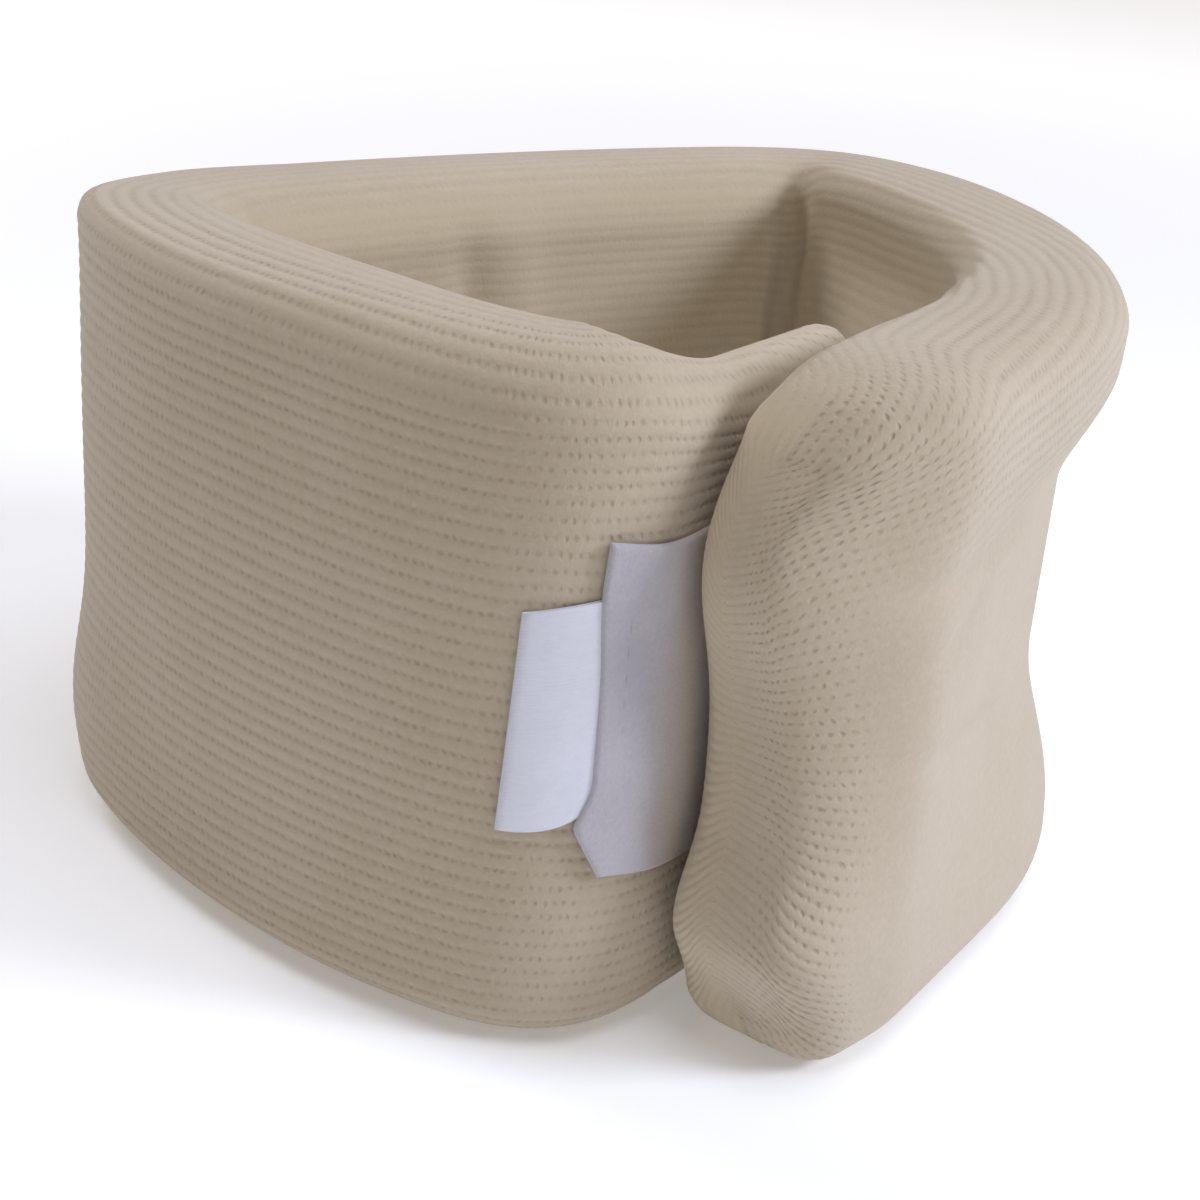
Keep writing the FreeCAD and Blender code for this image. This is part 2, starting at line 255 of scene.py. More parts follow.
def upper_round(along, outer):
    """Radius of the upper edge, which is a full roll on the flap's outer side."""
    if not outer:
        soft = ramp(along, 165 * MM, 215 * MM) * (1 - ramp(along, 330 * MM, 380 * MM))
        return UPPER_ROUND + 5.5 * MM * soft
    roll = 1 - ramp(along, 85 * MM, 150 * MM)
    rear = hump(along, line.long_middle, 60 * MM) - hump(along, line.left_hinge, 30 * MM)
    closed = ramp(along, line.near_end - 45 * MM, line.near_end)
    return UPPER_ROUND + (FLAP_ROLL - UPPER_ROUND) * roll + 2 * MM * rear + 4 * MM * closed


def half_section(thick, inset, up, high_round):
    """Depth below the outer face and height of the outer half of the section.
    Up is 0 at the middle of the lower edge and 1 at the middle of the upper edge."""
    wide = (thick - 2 * inset) / 2
    tall = WALL_TALL - 2 * inset
    low_radius = np.minimum(np.maximum(LOWER_ROUND - inset, 1.5 * MM), wide * 0.95)
    high_radius = np.minimum(np.maximum(high_round - inset, 1.5 * MM), wide * 0.95)
    low_flat, high_flat = wide - low_radius, wide - high_radius
    low_arc, high_arc = low_radius * math.pi / 2, high_radius * math.pi / 2
    side = tall - low_radius - high_radius
    path = up * (low_flat + low_arc + side + high_arc + high_flat)
    low = np.clip((path - low_flat) / low_radius, 0, math.pi / 2)
    high = np.clip((path - low_flat - low_arc - side) / high_radius, 0, math.pi / 2)
    depth = (
        wide
        - np.clip(path, 0, low_flat)
        - low_radius * np.sin(low)
        + high_radius * (1 - np.cos(high))
        + np.clip(path - low_flat - low_arc - side - high_arc, 0, high_flat)
    )
    height = (
        low_radius * (1 - np.cos(low))
        + np.clip(path - low_flat - low_arc, 0, side)
        + high_radius * np.sin(high)
    )
    return depth + inset, height + inset


def near_flap_end(along, reach):
    """1 at the flap's free end, falling to 0 at the reach."""
    return 1 - ramp(along, 0, reach)


def end_taper(along, level):
    """How far the flap's outer face falls back at its free end."""
    back = 3 * MM + 9.5 * MM * ramp(level, 0.0, 0.8) - 5 * MM * ramp(level, 0.8, 1.0)
    return back * near_flap_end(along + 4 * MM, 22 * MM)


def side_waist(along, level):
    """How far the right side draws in between its lower and upper edges."""
    amount = ramp(along, 8 * MM, 62 * MM) * (1 - 0.6 * ramp(along, 105 * MM, 190 * MM))
    amount = amount * (1 - ramp(along, 190 * MM, 300 * MM))
    drawn = ramp(level, 0.04, 0.42) * (1 - ramp(level, 0.68, 0.88))
    return amount * (5.4 * MM * drawn + 1.6 * MM * ramp(level, 0.1, 0.35))


def tongue_drop(along, level):
    """How far the squeezed tongue's upper edge lies below the wall's."""
    reach = ramp(along, line.near_end + 16 * MM, line.tongue_run + 12 * MM)
    return 4.5 * MM * reach * ramp(level, 0.72, 1)


def rear_drop(along, level):
    """How far the back's upper edge lies below the front's."""
    amount = ramp(along, 140 * MM, 190 * MM) * (1 - ramp(along, 295 * MM, 325 * MM))
    return 1.7 * MM * amount * ramp(level, 0.5, 1)


def crease(along, level, start, end, wide):
    """A groove between two places, each a distance along the band and a level; 1 at its bottom."""
    share = (along - start[0]) / (end[0] - start[0])
    middle = start[1] + (end[1] - start[1]) * share
    inside = ramp(share, -0.1, 0.25) * (1 - ramp(share, 0.75, 1.1))
    return inside * hump(level, middle, wide)


def flap_creases(along, level):
    """Shallow pulls across the flap's outer face, where the closure squeezes the foam."""
    upper = crease(along, level, (8 * MM, 0.735), (50 * MM, 0.70), 0.022)
    lower = crease(along, level, (9 * MM, 0.475), (60 * MM, 0.355), 0.026)
    slant = crease(along, level, (14 * MM, 0.60), (34 * MM, 0.70), 0.03)
    return 0.75 * MM * upper + 0.55 * MM * lower + 0.35 * MM * slant


def inner_folds(along, level):
    """Soft pleats and hollows of the inner face, where the bend squeezes foam and cover."""
    lean = 5 * MM * (0.5 - level)
    low_part = 1 - ramp(level, 0.8, 0.98)
    pleat = -1.1 * MM * hump(along + lean, 189 * MM, 4.5 * MM)
    second = -0.6 * MM * hump(along, 160 * MM, 3 * MM) + 0.6 * MM * hump(along, 153 * MM, 3.5 * MM)
    left = 1.5 * MM * hump(along, (250 + 3 * level) * MM, 3.4 * MM)
    before = -0.7 * MM * hump(along, 243 * MM, 4 * MM)
    return (pleat + second + left + before) * low_part


def soft_swell(along, level):
    """Slow unevenness of hand-cut foam."""
    slow = np.sin(along / (17 * MM) + 5 * level) * np.sin(3.1 * level + along / (31 * MM))
    return 0.25 * MM * slow


def warped(along, depth, height, thick):
    """Shifts ahead, outward and up that turn the straight section into the soft one."""
    level = height / WALL_TALL
    across = depth / thick
    closure = 1 - ramp(along, 42 * MM, 62 * MM)
    inner = np.clip(across, 0, 1)
    out = -side_waist(along, level) * (1 - closure * inner)
    out = out * (1 - inner * ramp(along, 130 * MM, 165 * MM))
    out = out - (end_taper(along, level) + flap_creases(along, level)) * (1 - across)
    out = out - 1.5 * MM * near_flap_end(along, 6 * MM) * across
    out = out + inner_folds(along, level) * ramp(across, 0.3, 1)
    out = out + soft_swell(along, level) * ramp(level, 0, 0.1) * (1 - ramp(level, 0.9, 1))
    out = out + 2.6 * MM * hump(along, 320 * MM, 26 * MM) * hump(level, 0.18, 0.16)
    out = out - 1.6 * MM * hump(along, 376 * MM, 26 * MM) * ramp(level, 0.4, 1.0)
    ahead = near_flap_end(along, 30 * MM) * (
        1.7 * MM
        - 5.1 * MM * hump(level, 0.74, 0.15)
        - 4.5 * MM * hump(level, 0.22, 0.09)
        + 2 * MM * hump(level, 0.0, 0.1)
    )
    ahead = ahead + 1.5 * MM * near_flap_end(along, 16 * MM) * ramp(level, 0.86, 1.0)
    flat_left = 1 - 0.8 * hump(along, line.left_hinge, 40 * MM) * (1 - across)
    dome = EDGE_DOME * ((2 * across - 1) ** 2) * flat_left
    up = dome * (ramp(-level, -0.2, 0.0) * 0.5 - ramp(level, 0.8, 1.0))
    up = up - tongue_drop(along, level) - rear_drop(along, level)
    up = up - 4.5 * MM * hump(along, -2 * MM, 11 * MM) * ramp(level, 0.72, 1.0)
    return ahead, out, up


def surface(along, depth, height, thick):
    """Points in space from the wall's own measures."""
    ahead, out, up = warped(along, depth, height, thick)
    points, heading = line.at(along)
    flat = points + outward(heading) * (out - depth)[..., None]
    flat = flat + forward(heading) * ahead[..., None]
    return np.concatenate([flat, (height + up)[..., None]], axis=-1)


# ---------------------------------------------------------------- meshes


def grid_normals(points):
    """Unit normals of a grid of points, by its own neighbours."""
    normal = np.cross(np.gradient(points, axis=0), np.gradient(points, axis=1))
    size = np.linalg.norm(normal, axis=-1, keepdims=True)
    return normal / np.maximum(size, 1e-12)


def new_object(name, vertices, faces, material):
    """A smooth shaded mesh object of one material."""
    mesh = bpy.data.meshes.new(name)
    mesh.from_pydata([tuple(v) for v in vertices], [], faces)
    mesh.materials.append(material)
    mesh.polygons.foreach_set("use_smooth", [True] * len(mesh.polygons))
    piece = bpy.data.objects.new(name, mesh)
    bpy.context.scene.collection.objects.link(piece)
    return piece


def grid_faces(index):
    """Faces of a grid of vertex numbers; a quad that lost a corner becomes a triangle."""
    corners = (index[:-1, :-1], index[1:, :-1], index[1:, 1:], index[:-1, 1:])
    faces = []
    for quad in np.stack([c.ravel() for c in corners], axis=1).tolist():
        corner_set = list(dict.fromkeys(quad))
        if len(corner_set) > 2:
            faces.append(corner_set)
    return faces


def compact(vertices, faces):
    """The vertices that faces use, the faces renumbered, and the kept numbers."""
    used = np.unique(np.concatenate([np.array(face) for face in faces]))
    number = np.full(len(vertices), -1)
    number[used] = np.arange(len(used))
    return vertices[used], [number[face].tolist() for face in faces], used


def set_uv(piece, name, u, v):
    """A UV layer from one pair of values per vertex."""
    layer = piece.data.uv_layers.new(name=name)
    corners = np.zeros(len(piece.data.loops), int)
    piece.data.loops.foreach_get("vertex_index", corners)
    layer.data.foreach_set("uv", np.stack([u[corners], v[corners]], axis=-1).ravel())


def set_value(piece, name, values):
    """A named value per vertex, for the material to read."""
    attribute = piece.data.attributes.new(name, "FLOAT", "POINT")
    attribute.data.foreach_set("value", values.astype(np.float32))


# ---------------------------------------------------------------- the band


class Columns:
    """The columns of half a band: outer face to the free end, round its cap, inner face back.
    The first and last columns lie past the split and become a lip under the other half. Walk is
    the way left on the face to the cap."""

    def __init__(self, split, end, step):
        self.away = 1.0 if end > split else -1.0
        run = abs(end - split) - END_ROUND
        steps = int(run / step)
        reach = np.concatenate([[-run / steps], np.linspace(0, run, steps + 1)])
        inset = np.zeros(len(reach))
        turn = np.linspace(0, math.pi / 2, CAP_TURN_STEPS)[1:]
        walk = np.concatenate(
            [run - reach + END_ROUND * math.pi / 2, END_ROUND * (math.pi / 2 - turn)]
        )
        reach = np.concatenate([reach, run + END_ROUND * np.sin(turn)])
        inset = np.concatenate([inset, END_ROUND * (1 - np.cos(turn))])
        cap = np.linspace(0, 1, CAP_STEPS)[1:-1]
        self.along = split + self.away * np.concatenate(
            [reach, np.full(len(cap), reach[-1]), reach[::-1]]
        )
        self.inset = np.concatenate([inset, np.full(len(cap), END_ROUND), inset[::-1]])
        self.across = np.concatenate([np.zeros(len(reach)), cap, np.ones(len(reach))])
        self.face = len(reach)
        self.count = len(self.along)
        self.cap_turn = np.where(
            self.across < SEAM_SIDE, self.across / SEAM_SIDE, (1 - self.across) / (1 - SEAM_SIDE)
        )
        self.from_end = np.abs(self.along - end)
        self.walk = np.concatenate([walk, np.zeros(len(cap)), walk[::-1]])


def band_points(columns, up):
    """Points of half a band: a grid of columns by heights."""
    along = columns.along[:, None]
    across = columns.across[:, None]
    thick = thickness(along)
    inset = np.minimum(columns.inset[:, None], thick * 0.42)
    outer, outer_height = half_section(thick, inset, up, upper_round(along, True))
    inner, inner_height = half_section(thick, inset, up, upper_round(along, False))
    depth = outer * (1 - across) + (thick - inner) * across
    height = outer_height * (1 - across) + inner_height * across
    level_height = inset + up * (WALL_TALL - 2 * inset)
    height = height + (level_height - height) * columns.cap_turn[:, None] ** 0.8
    along = np.broadcast_to(along, depth.shape)
    return surface(along, depth, height, thick)


def skin_normals(points, columns):
    """Normals out of the band, straight down and up along its lower and upper edges."""
    normal = grid_normals(points) * columns.away
    normal[:, 0] = (0, 0, -1)
    normal[:, -1] = (0, 0, 1)
    return normal


def with_lip(points, normal):
    """Points with their first and last columns sunk, so that the halves' ends stay hidden."""
    points = points.copy()
    for lip, rim in ((0, 1), (-1, -2)):
        points[lip] = points[rim] + 0.4 * (points[lip] - points[rim]) - normal[rim] * SKIN_THICK / 2
    return points


def band_index(columns, rows):
    """Vertex numbers of the grid, its two faces joined along the lower and upper edges, and
    closed where it was split."""
    index = np.arange(columns.count * rows).reshape(columns.count, rows)
    for edge in (0, -1):
        index[:, edge] = np.where(
            np.arange(columns.count) < columns.face, index[:, edge], index[::-1, edge]
        )
        index[columns.face : -columns.face, edge] = index[columns.face - 1, edge]
    index = np.vstack([index, index[:1]])
    return index if columns.away > 0 else index[::-1]


def stitch_places(columns, up):
    """Where each point lies in the knit: courses along the band and wales round it, as counted
    on the outer and on the inner face. The cover is gathered at its sewn end, so that the wales
    fan out from there, and a little twisted."""
    cap_run = columns.cap_turn * (WALL_THICK - 2 * END_ROUND) * SEAM_SIDE
    courses = (columns.walk - cap_run) / COURSE
    spread_out = 0.80 + 0.20 * ramp(columns.from_end, 0, 26 * MM)
    slim = (WALL_TALL + thickness(columns.along)) / (WALL_TALL + WALL_THICK)
    wide_top = up - 0.17 * np.maximum(0, up - 0.89)
    wales = (wide_top - 0.5) * WALES_PER_FACE * (slim / spread_out)[:, None]
    fine = np.linspace(0, 150 * MM, 601)
    slant = 0.035 + 0.045 * ramp(fine, 30 * MM, 60 * MM)
    slant = slant * ramp(fine, 4 * MM, 20 * MM) * (1 - ramp(fine, 95 * MM, 145 * MM))
    slid = np.cumsum(slant) * (fine[1] - fine[0]) / MM
    twist = (slid[-1] - np.interp(columns.along, fine, slid))[:, None]
    inner = 2 * wales[:, -1:] - wales
    return np.broadcast_to(courses[:, None], wales.shape), wales + twist, inner + twist


def stitch_fields(along, level, across):
    """Over the grid: how proud the wales stand, how open the stitches look, and how much a
    point belongs to the inner face."""
    outer = 1 - ramp(across, 0.2, 0.5)
    inner = ramp(across, 0.5, 0.9) * (1 - ramp(level, 0.93, 0.99))
    flap_face = ramp(along, 3 * MM, 10 * MM) * (1 - ramp(along, 110 * MM, 170 * MM)) * outer
    flap_face = flap_face * (1 - ramp(level, 0.70, 0.84))
    roll = (1 - ramp(along, 90 * MM, 150 * MM)) * outer * ramp(level, 0.72, 0.86)
    end_band = hump(along, 2 * MM, 5 * MM) * outer
    end_face = near_flap_end(along, 2 * MM) * (1 - outer)
    upper = ramp(level, 0.95, 0.99)
    near = ramp(along, 300 * MM, 345 * MM) * outer
    closed = ramp(along, 365 * MM, 400 * MM) * outer
    proud = 0.55 + 0.2 * near - 0.3 * closed - 0.5 * flap_face + 0.15 * roll
    proud = proud - 0.35 * inner + 0.1 * upper
    proud = proud * (1 - 0.5 * near_flap_end(along, 15 * MM) * ramp(level, 0.3, 0.6))
    proud = proud + 0.5 * end_face
    open_look = 0.35 + 0.35 * near - 0.34 * flap_face + 0.5 * end_band - 0.3 * end_face
    open_look = open_look + 0.2 * roll - 0.25 * upper * (1 - near) * (1 - roll) - 0.25 * inner
    return np.clip(proud, 0.04, 1.3), np.clip(open_look, 0.03, 1.0), inner


def make_band(name, columns, points, material):
    """A closed mesh of half a band, and the grid points that its vertices are."""
    rows = points.shape[1]
    index = band_index(columns, rows)
    vertices, faces, used = compact(points.reshape(-1, 3), grid_faces(index))
    piece = new_object(name, vertices, faces, material)
    pairs = np.zeros(2 * len(piece.data.edges), int)
    piece.data.edges.foreach_get("vertices", pairs)
    column = (used // rows)[pairs.reshape(-1, 2)]
    from_split = np.minimum(column, columns.count - 1 - column)
    sharp = (from_split[:, 0] == from_split[:, 1]) & (from_split[:, 0] < 2)
    piece.data.attributes.new("sharp_edge", "BOOLEAN", "EDGE").data.foreach_set("value", sharp)
    return piece, used


def make_foam(name, split, end, material):
    columns = Columns(split, end, FOAM_STEP)
    points = band_points(columns, np.linspace(0, 1, FOAM_ROWS))
    points = points - skin_normals(points, columns) * SKIN_THICK
    piece, _ = make_band(name, columns, points, material)
    return piece


def set_knit_places(piece, columns, used, courses, outer, inner):
    """The knit's UV layer. Each face takes its wales from its own side's count."""
    rows = outer.shape[1]
    loops = np.zeros(len(piece.data.loops), int)
    piece.data.loops.foreach_get("vertex_index", loops)
    totals = np.zeros(len(piece.data.polygons), int)
    piece.data.polygons.foreach_get("loop_total", totals)
    owner = np.repeat(np.arange(len(totals)), totals)
    column, row = np.divmod(used[loops], rows)
    farthest = np.zeros(len(totals), int)
    np.maximum.at(farthest, owner, column)
    seam = np.argmax(columns.across >= SEAM_SIDE)
    wales = np.where(farthest[owner] > seam, inner[column, row], outer[column, row])
    layer = piece.data.uv_layers.new(name="knit")
    layer.data.foreach_set("uv", np.stack([courses[column, row], wales], axis=-1).ravel())


def make_cover(name, split, end, material):
    columns = Columns(split, end, COLUMN_STEP)
    up = np.linspace(0, 1, WALES_PER_FACE * SAMPLES_PER_WALE + 1)
    points = band_points(columns, up)
    courses, outer, inner = stitch_places(columns, up)
    along = np.broadcast_to(columns.along[:, None], outer.shape)
    across = np.broadcast_to(columns.across[:, None], outer.shape)
    proud, open_look, inside = stitch_fields(along, points[..., 2] / WALL_TALL, across)
    raised = proud * (1 - ramp(columns.cap_turn, 0, 0.3))[:, None]
    wales = np.where(across > SEAM_SIDE, inner, outer)
    rib = (0.5 - 0.5 * np.cos(2 * math.pi * wales)) ** 0.7
    normal = skin_normals(points, columns)
    points = points + normal * (RIB_HIGH * (raised * rib - 0.5))[..., None]
    piece, used = make_band(name, columns, with_lip(points, normal), material)
    set_knit_places(piece, columns, used, courses, outer, inner)
    set_value(piece, "open_look", open_look.ravel()[used])
    set_value(piece, "proud", proud.ravel()[used])
    set_value(piece, "inside", inside.ravel()[used])
    return piece


# ---------------------------------------------------------------- tapes and threads


def on_face(along, height, lift, outer=True):
    """Points above the wall's outer or inner face."""
    along, height, lift = np.broadcast_arrays(along, height, lift)
    thick = thickness(along)
    depth = -lift if outer else thick + lift
    return surface(along, depth, height, thick)


def edge_steps(count, length, rim):
    """Even steps from 0 to 1 with closer ones at both ends, where a tape's edge is rounded."""
    close = np.array([0, 0.15, 0.5, 1.0]) * rim / length
    return np.concatenate([close, np.linspace(0, 1, count)[1:-1], 1 - close[::-1]])


def make_tape(name, shape, size, thick, material, outer=True):
    """A tape on a face, made of a middle surface and its thickness. Shape maps two grids of
    shares, 0 to 1, to distances along the band, heights and lifts. Size is the tape's own length
    and height, and its edges are rounded."""
    rim = thick / 2
    a, b = np.meshgrid(
        edge_steps(max(12, int(size[0] / MM)), size[0], rim),
        edge_steps(max(12, int(size[1] / MM)), size[1], rim),
        indexing="ij",
    )
    along, height, lift = shape(a, b)
    run, rise = np.gradient(along, axis=0), np.gradient(lift, axis=0)
    length = np.maximum(np.hypot(run, rise), 1e-9)
    to_edge = np.minimum(np.minimum(a, 1 - a) * size[0], np.minimum(b, 1 - b) * size[1])
    half = thick / 2 * np.sqrt(1 - (1 - np.clip(to_edge / rim, 0, 1)) ** 2)
    aside, over = -rise / length * half, run / length * half
    front = on_face(along + aside, height, lift + thick / 2 + over, outer)
    back = on_face(along - aside, height, lift + thick / 2 - over, outer)
    index = np.arange(a.size).reshape(a.shape)
    back_index = index + a.size
    for edge in ((0, slice(None)), (-1, slice(None)), (slice(None), 0), (slice(None), -1)):
        back_index[edge] = index[edge]
    if outer:
        faces = grid_faces(index) + grid_faces(back_index[::-1])
    else:
        faces = grid_faces(index[::-1]) + grid_faces(back_index)
    vertices = np.concatenate([front.reshape(-1, 3), back.reshape(-1, 3)])
    vertices, faces, used = compact(vertices, faces)
    piece = new_object(name, vertices, faces, material)
    u, v = np.tile((a * size[0]).ravel(), 2), np.tile((b * size[1]).ravel(), 2)
    set_uv(piece, "tape", u[used], v[used])
    return piece


def grain_faces(base):
    """Faces of a closed tube of rings, its first vertex at base."""
    around = GRAIN_AROUND
    faces = []
    for k in range(GRAIN_LONG - 1):
        for m in range(around):
            here, there = base + k * around + m, base + k * around + (m + 1) % around
            faces.append([here, here + around, there + around, there])
    faces.append([base + m for m in range(around)])
    faces.append([base + (GRAIN_LONG - 1) * around + m for m in range(around)][::-1])
    return faces


def grain_bow():
    """Even shares from 0 to 1 along a grain, and a bow that is 1 at its middle."""
    share = np.linspace(0, 1, GRAIN_LONG)
    return share, np.sin(math.pi * share)


def add_grain(vertices, faces, spine, over, thick):
    """Adds a small tube along a spine of points, thickest at its middle."""
    ahead = spine[-1] - spine[0]
    ahead = ahead / np.linalg.norm(ahead)
    beside = np.cross(ahead, over)
    angle = np.linspace(0, 2 * math.pi, GRAIN_AROUND, endpoint=False)
    radius = thick / 2 * (0.35 + 0.65 * np.sqrt(grain_bow()[1]))
    ring = np.cos(angle)[:, None] * beside + np.sin(angle)[:, None] * over
    base = len(vertices)
    vertices.extend((spine[:, None] + radius[:, None, None] * ring[None]).reshape(-1, 3))
    faces.extend(grain_faces(base))


def make_threads(name, places, material, outer=True):
    """Sewn stitches, each a small rounded grain between two places on a face."""
    vertices, faces = [], []
    share, bow = grain_bow()
    for (start_along, start_height), (end_along, end_height), lift in places:
        spine = on_face(
            start_along + (end_along - start_along) * share,
            start_height + (end_height - start_height) * share,
            lift - THREAD_THICK * 0.75 + THREAD_THICK * 0.55 * bow,
            outer,
        )
        over = on_face(start_along, start_height, lift + MM, outer) - on_face(
            start_along, start_height, lift, outer
        )
        add_grain(vertices, faces, spine, over / np.linalg.norm(over), THREAD_THICK)
    return new_object(name, vertices, faces, material)


def stitch_row(start, end, lift):
    """Places of the stitches of one straight row between two places on a face."""
    start, end = np.array(start), np.array(end)
    length = np.linalg.norm(end - start)
    count = max(1, round(length / STITCH_PITCH))
    half = STITCH_LONG / 2 / length
    middles = (np.arange(count) + 0.5) / count
    return [
        (tuple(start + (end - start) * (m - half)), tuple(start + (end - start) * (m + half)), lift)
        for m in middles
    ]


def stitch_box(low_along, high_along, low, high, lift):
    """Rows of stitches round a rectangle on a face."""
    corners = [(low_along, low), (high_along, low), (high_along, high), (low_along, high)]
    rows = []
    for start, end in zip(corners, corners[1:] + corners[:1]):
        rows += stitch_row(start, end, lift)
    return rows


# ---------------------------------------------------------------- materials


# linear colours of the knit: its yarn in two tones, its specks, its warmer, lighter inner face, and
# the painted shade in its openings, over the foam that shows there, and in the grooves between its
# wales
YARN_DARK = (0.468, 0.39, 0.28)
YARN_LIGHT = (0.506, 0.428, 0.316)
YARN_SPECK = (0.57, 0.505, 0.395)
YARN_INSIDE = (0.55, 0.46, 0.31)
PAINTED_GAP_SHADE = (0.28, 0.22, 0.15)

# half the width of an opening in wales, and half its length in courses
OPENING_WALES = 0.21
OPENING_COURSES = 0.31

# the loop tape's painted warm shade beside the flap: its colour, and where it begins and ends
# across the tape
PAINTED_SHADE_TONE = (0.46, 0.38, 0.29)
PAINTED_SHADE_RISE = (5 * MM, 13 * MM)
PAINTED_SHADE_FALL = (15 * MM, 23 * MM)

WEAVE_PITCH = 0.45 * MM
HOOK_PITCH_ALONG = 1.3 * MM
HOOK_PITCH_UP = 0.9 * MM


class Nodes:
    """Short names for building a node tree."""

    def __init__(self, name):
        self.material = bpy.data.materials.new(name)
        self.material.use_nodes = True
        self.tree = self.material.node_tree
        self.shader = self.tree.nodes["Principled BSDF"]

    def add(self, kind, **settings):
        node = self.tree.nodes.new(kind)
        for key, value in settings.items():
            setattr(node, key, value)
        return node

    def feed(self, socket, value):
        if isinstance(value, (int, float, tuple)):
            socket.default_value = value
        else:
            self.tree.links.new(value, socket)

    def math(self, operation, a, b=None):
        node = self.add("ShaderNodeMath", operation=operation)
        for socket, value in zip(node.inputs, (a, b)):
            if value is not None:
                self.feed(socket, value)
        return node.outputs[0]

    def noise(self, vector, scale, detail=2.0, roughness=0.5):
        node = self.add("ShaderNodeTexNoise")
        self.feed(node.inputs["Vector"], vector)
        node.inputs["Scale"].default_value = scale
        node.inputs["Detail"].default_value = detail
        node.inputs["Roughness"].default_value = roughness
        return node.outputs["Fac"]

    def spread(self, value, low, high, to_low=0.0, to_high=1.0):
        """The value taken smoothly from one range to another."""
        node = self.add("ShaderNodeMapRange", interpolation_type="SMOOTHSTEP")
        self.feed(node.inputs["Value"], value)
        node.inputs["From Min"].default_value = low
        node.inputs["From Max"].default_value = high
        node.inputs["To Min"].default_value = to_low
        node.inputs["To Max"].default_value = to_high
        return node.outputs["Result"]

    def mix(self, factor, a, b):
        node = self.add("ShaderNodeMix", data_type="RGBA")
        self.feed(node.inputs["Factor"], factor)
        self.feed(node.inputs["A"], a)
        self.feed(node.inputs["B"], b)
        return node.outputs["Result"]

    def bump(self, height, distance, strength):
        node = self.add("ShaderNodeBump")
        node.inputs["Distance"].default_value = distance
        node.inputs["Strength"].default_value = strength
        self.feed(node.inputs["Height"], height)
        return node.outputs["Normal"]

    def uv(self, layer):
        """A UV layer, whole and as its two values."""
        whole = self.add("ShaderNodeUVMap", uv_map=layer).outputs["UV"]
        split = self.add("ShaderNodeSeparateXYZ")
        self.feed(split.inputs[0], whole)
        return whole, split.outputs["X"], split.outputs["Y"]

    def attribute(self, name):
        return self.add("ShaderNodeAttribute", attribute_name=name).outputs["Fac"]

    def wander(self, vector, scale, detail, amount):
        """Noise about 0, spread over the amount."""
        noise = self.noise(vector, scale, detail)
        return self.math("MULTIPLY", self.math("SUBTRACT", noise, 0.5), amount)

    def set_look(self, roughness, specular, sheen, sheen_roughness):
        self.shader.inputs["Roughness"].default_value = roughness
        self.shader.inputs["Specular IOR Level"].default_value = specular
        self.shader.inputs["Sheen Weight"].default_value = sheen
        self.shader.inputs["Sheen Roughness"].default_value = sheen_roughness


def colour(red, green, blue):
    return (red, green, blue, 1.0)


